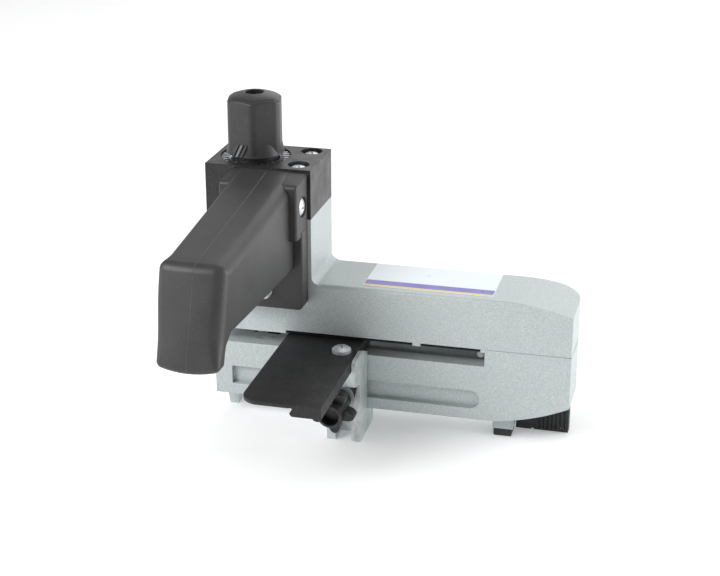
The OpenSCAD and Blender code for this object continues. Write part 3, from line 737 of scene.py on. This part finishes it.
def grip_root():
    """The thick block where the grip meets the head block. It narrows towards its front."""
    low, high, front = 91.6, 121.8, -16.5
    profile = rounded([(0, low, 0), (0, high, 0), (front, high - 2.2, 2.6), (front, low, 1.2)])
    root = prism("root", profile, "X", 0, 1, "grip_plastic")
    for vertex in root.data.vertices:
        spot = (vertex.co - CORNER) / MM
        share = spot.y / front
        x = 12.4 - 1.9 * share if spot.x < 0.5 else 50.2 - 0.8 * share
        vertex.co = to_row((x, spot.y, spot.z))
    round_edges(root, 1.5, 4, 50)
    return root


def grip_sheet():
    """The mounting plate under the root, screwed to the tower."""
    low, high = span("handle_grip")
    left, top, thickness = 13.2, 95, 10.5
    corners = [(left, low.z, 3), (high.x, low.z, 3), (high.x, top, 1), (left, top, 1)]
    sheet = prism("sheet", rounded(corners), "Y", -thickness, 0, "grip_plastic")
    round_edges(sheet, 2.2, 4, 50)
    return sheet


def mould_line(outline, normals, end):
    """The fine raised line that the mould leaves along the middle of the grip's top and end."""
    last = max(i for i, spot in enumerate(outline) if spot[0] < end + 4 and spot[1] > 66)
    half, sunk, proud = 0.3, -0.1, 0.15
    points = []
    for (y, z, *_), normal in list(zip(outline, normals))[: last + 1]:
        if y > -1:
            continue
        for x, height in ((GRIP_MIDDLE - half, sunk), (GRIP_MIDDLE, proud), (GRIP_MIDDLE + half, sunk)):
            points.append((x, y - normal.x * height, z - normal.y * height))
    faces = []
    for row in range(len(points) // 3 - 1):
        for k in range(2):
            a = row * 3 + k
            faces.append((a, a + 1, a + 4, a + 3))
    return new_piece("mould_line", points, faces, "grip_line")


def add_grip():
    """The moulded grip with its root, mounting plate, screw seat and mould line."""
    outline = grip_outline()
    normals = inward_normals(outline)
    end = min(spot[0] for spot in outline)
    grip, root, sheet = grip_body(outline, normals, end), grip_root(), grip_sheet()
    screw_low, screw_high = span("handle_side_screws")
    hole = (screw_low + screw_high) / 2
    seat = hole.x + 17
    hole.x = 0
    for part in (root, sheet):
        cut(part, drum("seat", hole, 5.2, seat, seat + 6, "X", "grip_plastic"))
    settle(merge("handle_grip_look", [grip, root, sheet]), "handle_grip", math.radians(40))
    add_extra(mould_line(outline, normals, end), "handle_grip")


# ---------------------------------------------------------------- knob


def knob_outline(flat, corner):
    """The knob's plan round its axis: a hexagon of a size to its flats, with round corners."""
    centre = (flat - corner) / math.cos(math.radians(30))
    ring = []
    for side in range(6):
        angle = 60 * side
        hub = (centre * math.cos(math.radians(angle)), centre * math.sin(math.radians(angle)))
        ring += arc(hub, corner, angle - 30, angle + 30, 8)
    turn = Matrix.Rotation(math.radians(42), 2)
    return [turn @ Vector(spot) for spot in denser(ring, 1.8)]


def knob_body(axis, base, top, hole):
    """The knob's six flats with a slight draft, its round rim, its dome and the hole in the dome's middle."""
    plan = knob_outline(13.0, 4.6)
    dome, rim, draft = 32.0, 1.3, 0.005

    def dome_z(radius):
        return top - dome + math.sqrt(dome * dome - radius * radius)

    rings = []
    for level in (0.0, 0.4, 2, 6, 12, 18, 23):
        inset = (0.4 if level == 0 else 0.0) + draft * level
        rings.append([(s * (1 - inset / s.length), base + level) for s in plan])
    plan = [s * (1 - draft * 26 / s.length) for s in plan]
    for k in range(6):
        a = math.radians(90 * k / 5)
        rings.append([
            (s * (1 - rim * (1 - math.cos(a)) / s.length),
             dome_z(s.length - rim * 0.4) - rim * (1 - math.sin(a)) - 0.1)
            for s in plan
        ])
    for share in (0.85, 0.7, 0.55, 0.45):
        rings.append([(s * share, dome_z(s.length * share)) for s in plan])
    chamfer = 0.4
    bore = ((hole + chamfer, dome_z(hole + chamfer)), (hole, dome_z(hole) - 0.35), (hole, top - 9.2))
    for radius, z in bore:
        rings.append([(s.normalized() * radius, z) for s in plan])
    points = [(axis.x + s.x, axis.y + s.y, z) for loop in rings for s, z in loop]
    faces = [tuple(range(len(plan)))] + ring_faces(len(rings), len(plan))
    return new_piece("body", points, faces, "knob_plastic")


def knob_skirt(axis, base):
    """The round foot, which runs out into the flats as a low arch on each."""
    foot, height, steps = base + 0.35, 6.4, 8
    flare = [(11.5, base - 4.2), (11.5, base - 0.1), (13.9, base - 0.1), (14.4, foot)]
    flare += [(12.9 + 1.5 * (1 - k / steps) ** 0.9, foot + height * k / steps) for k in range(1, steps + 1)]
    flare.append((12.5, base + 6.9))
    return lathe("skirt", flare, "knob_plastic", (axis.x, axis.y, 0), steps=96)


def add_click_bars(axis, base):
    """Three inclined bars low on the flat at the left front: a wide pale one between two dark ones."""
    side = math.radians(252)
    outward_way = Vector((math.cos(side), math.sin(side), 0))
    across = Vector((-math.sin(side), math.cos(side), 0))
    bars = ((-3.4, 0.8, 0.5, "knob_plastic"), (-1.4, 1.3, 0.8, "knob_bar"), (1.4, 0.9, 0.5, "knob_plastic"))
    foot, lean, depth = 0.6, 0.42, 1.5
    for start, width, proud, slot in bars:
        corners = []
        for height, reach in ((foot, 14.3), (6.4, 13.2)):
            for away in (start, start + width):
                for stand in (-depth, proud):
                    spot = across * (away + (height - foot) * lean) + outward_way * (reach + stand)
                    corners.append((axis.x + spot.x, axis.y + spot.y, base + height))
        faces = [(0, 1, 3, 2), (4, 6, 7, 5), (0, 4, 5, 1), (2, 3, 7, 6), (0, 2, 6, 4), (1, 5, 7, 3)]
        bar = new_piece("click_bar", corners, faces, slot)
        round_edges(bar, 0.2, 2)
        add_extra(bar, "depth_knob")


def add_knob():
    """The domed six-sided knob, a black sleeve in the bore for its screw as painted shade, and the bars at
    its foot.
    """
    low, high = span("depth_knob")
    axis = (low + high) / 2
    base = span("head_block")[1].z + 1.7
    hole = 4.75
    body, skirt = knob_body(axis, base, high.z, hole), knob_skirt(axis, base)
    settle(merge("depth_knob_look", [body, skirt]), "depth_knob", math.radians(34))
    # A black sleeve lines the bore near its mouth: painted shade, so that the hole reads dark.
    inner, outer, foot, mouth = hole - 0.3, hole + 0.2, high.z - 9, high.z - 0.8
    sleeve = [(inner, foot), (outer, foot), (outer, mouth), (inner, mouth), (inner, foot)]
    add_extra(lathe("knob_bore_painted_shade", sleeve, "strip_black", (axis.x, axis.y, 0)), "depth_knob")
    add_click_bars(axis, base)


# ---------------------------------------------------------------- label, feet, screws and the rest


def add_label():
    """The label: a pale film with a violet band and a thin yellow line, left plain."""
    low, high = span("label_plate")
    face = low.z + 0.2
    corner_r = 0.8
    plan = ((low.x, low.y), (high.x, low.y), (high.x, high.y), (low.x, high.y))
    corners = [(x, y, corner_r) for x, y in plan]
    settle(prism("label_plate_look", rounded(corners), "Z", low.z, face, "label_print"), "label_plate")
    left, right = low.x + 0.3, high.x - 0.3
    for name, start, stop in (("label_band", 2.4, 8.2), ("label_line", 0.5, 2.0)):
        near, far = low.y + start, low.y + stop
        stripe = [(left, near), (right, near), (right, far), (left, far)]
        add_extra(prism(name, stripe, "Z", face - 0.05, face + 0.03, name), "label_plate")


def add_shoe():
    """The rubber shoe under the closed end, with grooves that leave ribs on its right part."""
    shoe = refined("end_shoe", 0.3, 2)
    low, high = span("end_shoe")
    first, pitch, width = low.x + 11.5, 2.1, 0.8
    for k in range(7):
        x = first + pitch * k
        groove_low = (x, low.y - 1, low.z + 1.6)
        groove_high = (x + width, low.y + 0.7, high.z - 2.5)
        cut(shoe, block("gap", groove_low, groove_high, "rubber_black"))
    settle(shoe, "end_shoe")


def add_lock_knob():
    """The star knob of the edge guide: five soft lobes, a collar and a hollow in its end."""
    low, high = span("lock_knob")
    stud_low, stud_high = span("lock_stud")
    x, z = (stud_low.x + stud_high.x) / 2, (stud_low.z + stud_high.z) / 2
    front, back = low.y, high.y
    lobes, lean, middle, swing, flattening = 5, math.radians(10), 8.7, 2.75, 0.25
    outline = []
    for step in range(120):
        angle = math.radians(3 * step)
        swell = math.cos(lobes * (angle + lean))
        radius = middle + swing * swell - flattening * swell * swell
        outline.append((x + radius * math.cos(angle), z + radius * math.sin(angle)))
    star = prism("star", outline, "Y", front + 5.0, front + 11.4, "star_black")
    round_edges(star, 1.3, 4, 60)
    collar = [(4.3, 9), (4.3, 0.5), (4.7, 0), (5.6, 0), (6.1, 0.5), (6.1, 4.6), (6.8, 5.6), (6.8, 10.9)]
    collar += [(5.6, 12), (5.5, back - front), (4.0, back - front), (4.0, 9), (4.3, 9)]
    profile = [(radius, -(front + level)) for radius, level in reversed(collar)]
    hub = lathe("hub", profile, "star_black", (x, 0, z), "-Y")
    settle(merge("lock_knob_look", [star, hub]), "lock_knob", math.radians(40))


def add_roof_strips():
    """The black wear strips under the arm, each with a shadow gap along its top front edge."""
    depth, height = 5, 1.1
    for node in ("roof_strip_long", "roof_strip_short"):
        strip = refined(node, 0.15)
        low, high = span(node)
        gap_low = (low.x - 1, low.y - 1, high.z - height)
        gap_high = (high.x + 1, low.y + depth, high.z + 0.5)
        cut(strip, block("gap", gap_low, gap_high, "strip_black"))
        settle(strip, node)


def add_refined_nodes():
    """The remaining visible nodes, with the edges that their real parts have."""
    widths = {
        "fence_plate": 0.3, "fence_bracket": 0.7, "front_foot_pad": 0.5, "pocket_cover": 0.2,
        "head_block_screws": 0.18, "handle_side_screws": 0.18, "handle_front_screw": 0.18,
        "fence_screw": 0.18, "click_ring": 0.12, "cutter_carriage": 0.3, "upper_cutter": 0.12,
        "lower_cutter": 0.12,
    }
    for node, width in widths.items():
        settle(refined(node, width), node)
    pin = refined("slot_end_pin", 0.3)
    pin.data.materials[0] = MATERIALS["pin_grey"]
    settle(pin, "slot_end_pin")


add_camera()
add_lights()
add_floor()
dress_cad_nodes()
add_castings()
add_grip()
add_knob()
add_label()
add_shoe()
add_lock_knob()
add_roof_strips()
add_refined_nodes()
